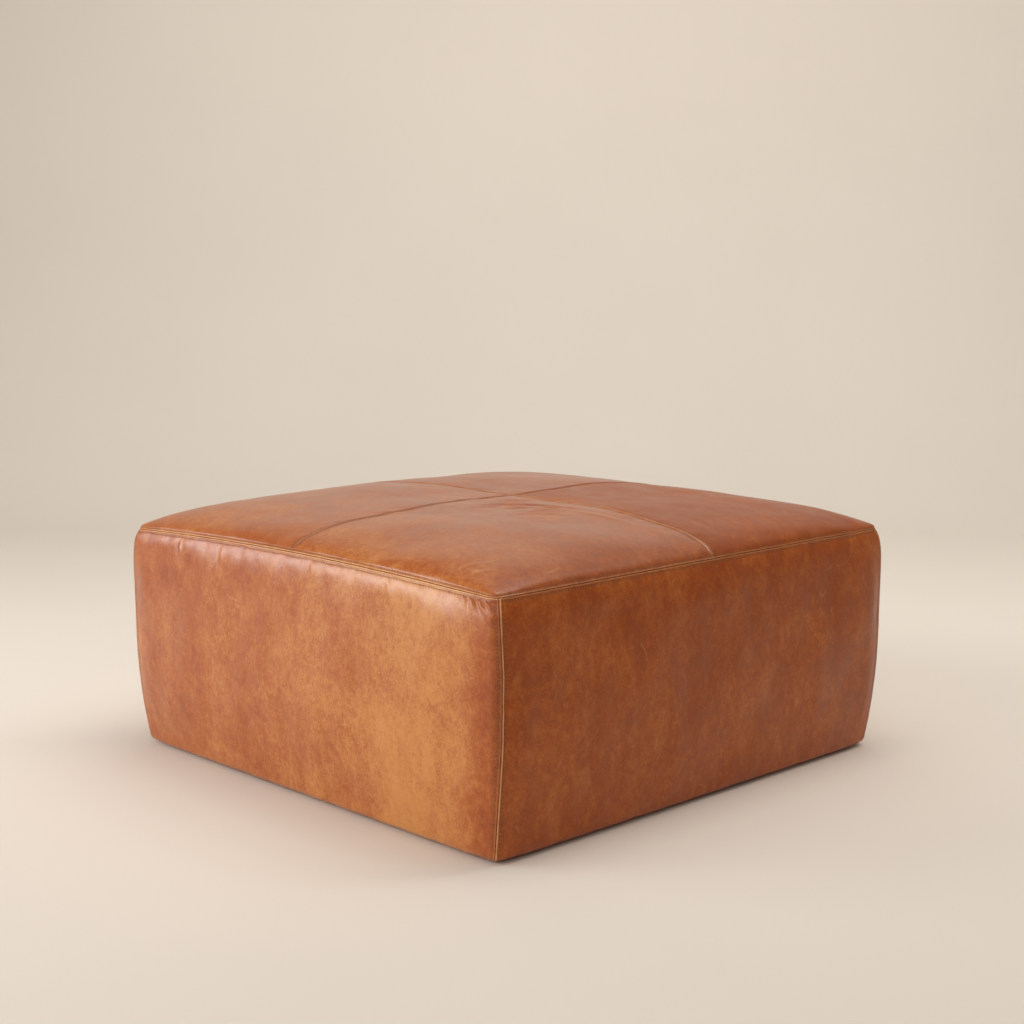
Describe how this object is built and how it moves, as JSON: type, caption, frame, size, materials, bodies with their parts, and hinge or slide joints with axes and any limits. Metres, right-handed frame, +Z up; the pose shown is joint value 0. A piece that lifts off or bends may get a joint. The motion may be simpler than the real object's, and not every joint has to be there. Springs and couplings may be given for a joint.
{
  "type": "square leather pouf",
  "caption": "Large square pouf or ottoman: padded timber box under a double-stitched tan leather cover, used as a seat, footrest or low table.",
  "frame": {"origin": "on the floor under the middle of the pouf", "axes": "+Z up, -Y towards the front, X and Y along the sides"},
  "size_m": [0.915, 0.915, 0.4325],
  "materials": {
    "leather": "satin",
    "thread": "matte",
    "wadding": "matte",
    "foam": "matte",
    "webbing": "matte",
    "hessian": "matte",
    "timber": "matte",
    "hardboard": "matte",
    "base_cloth": "matte",
    "glide": "satin",
    "staple_wire": "satin",
    "screw_steel": "satin"
  },
  "bodies": {
    "root": {"top_panel_front_right": "leather", "top_panel_back_right": "leather", "top_panel_back_left": "leather", "top_panel_front_left": "leather", "side_panel_front": "leather", "side_panel_right": "leather", "side_panel_back": "leather", "side_panel_left": "leather", "perimeter_stitching": "thread", "cross_stitching": "thread", "corner_stitching": "thread", "wadding_top": "wadding", "wadding_sides": "wadding", "foam_top_slab": "foam", "foam_pad_front": "foam", "foam_pad_right": "foam", "foam_pad_back": "foam", "foam_pad_left": "foam", "webbing_across_1": "webbing", "webbing_along_1": "webbing", "webbing_across_2": "webbing", "webbing_along_2": "webbing", "webbing_across_3": "webbing", "webbing_along_3": "webbing", "webbing_across_4": "webbing", "webbing_along_4": "webbing", "deck_hessian": "hessian", "base_rail_front": "timber", "top_rail_front": "timber", "side_board_front": "hardboard", "base_rail_right": "timber", "top_rail_right": "timber", "side_board_right": "hardboard", "base_rail_back": "timber", "top_rail_back": "timber", "side_board_back": "hardboard", "base_rail_left": "timber", "top_rail_left": "timber", "side_board_left": "hardboard", "corner_post_front_right": "timber", "corner_plate_front_right": "timber", "glide_front_right": "glide", "corner_post_back_right": "timber", "corner_plate_back_right": "timber", "glide_back_right": "glide", "corner_post_back_left": "timber", "corner_plate_back_left": "timber", "glide_back_left": "glide", "corner_post_front_left": "timber", "corner_plate_front_left": "timber", "glide_front_left": "glide", "base_brace": "timber", "base_cloth": "base_cloth", "leather_staples": "staple_wire", "base_cloth_staples": "staple_wire", "webbing_staples": "staple_wire", "frame_screws": "screw_steel"}
  },
  "joints": []
}
